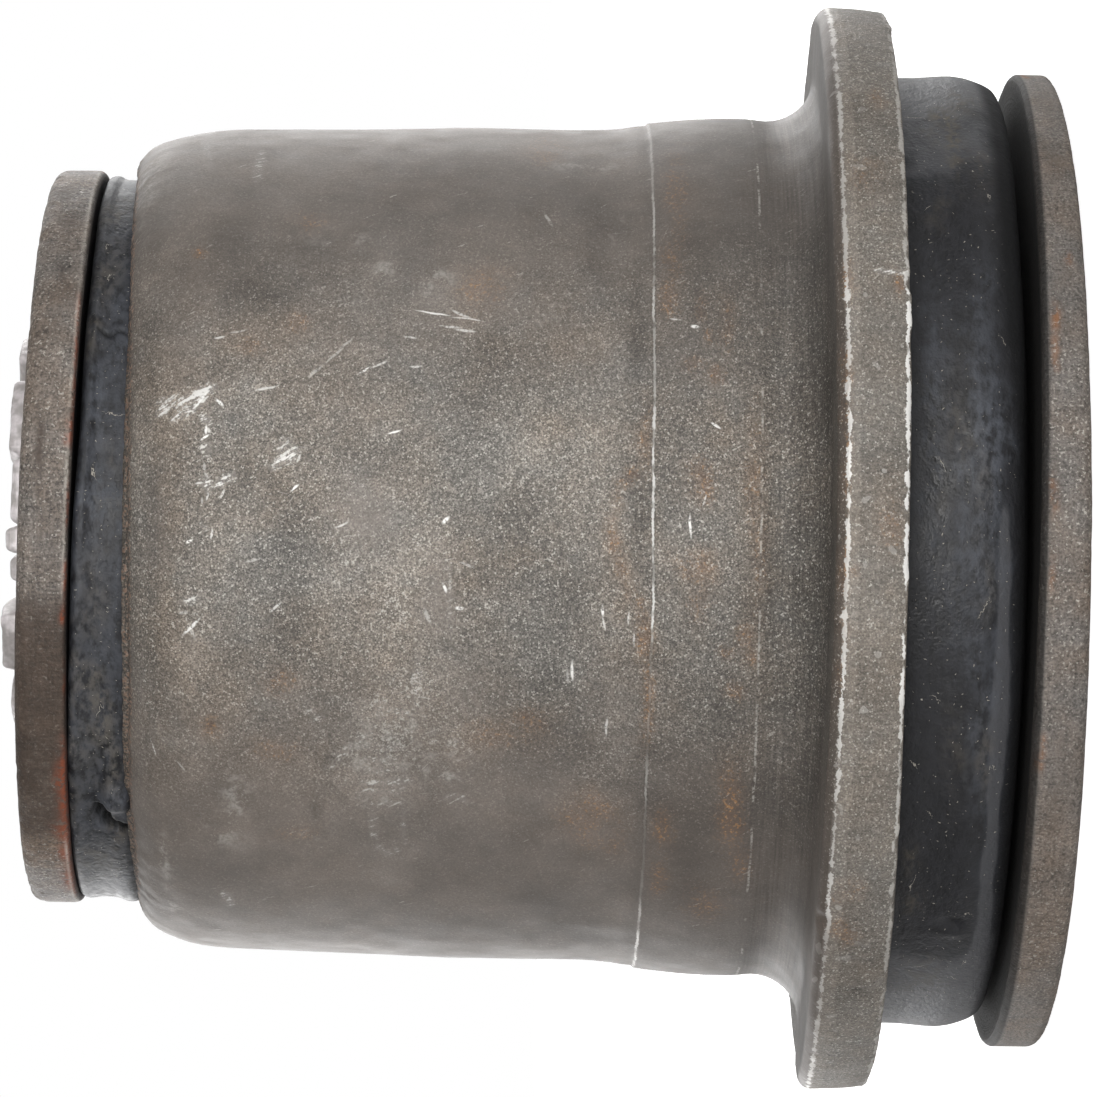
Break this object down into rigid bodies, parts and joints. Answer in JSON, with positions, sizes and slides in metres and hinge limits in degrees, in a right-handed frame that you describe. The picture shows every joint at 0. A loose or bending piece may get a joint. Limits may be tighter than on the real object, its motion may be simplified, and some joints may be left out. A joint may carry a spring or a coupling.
{
  "type": "flanged rubber metal bush",
  "caption": "Rubber-metal suspension bush: flanged steel outer shell, bonded rubber and a through-bored inner sleeve with steel end washers.",
  "frame": {"origin": "on the axis of the bolt bore, in the outer face of the large end washer that the bush stands on", "axes": "+Z along the bolt bore from the large washer to the small one; -Y is the side that faced the camera; the rim of the large washer runs 0.53 mm off centre towards -X"},
  "size_m": [0.0664, 0.0664, 0.063],
  "materials": {
    "shell_steel": "drawn steel with a dull grey-brown oxide skin, scuffed, with bright sheared edges at the flange",
    "washer_steel": "plate steel with a mottled grey-brown oxide skin, brown stains and a few rust specks",
    "sleeve_steel": "turned steel, pale where the end was staked over",
    "bush_rubber": "satin black natural rubber, dusty, with a few tears"
  },
  "bodies": {
    "root": {"outer_shell": "shell_steel", "rubber_body": "bush_rubber", "inner_sleeve": "sleeve_steel", "large_end_washer": "washer_steel", "small_end_washer": "washer_steel"}
  },
  "joints": []
}
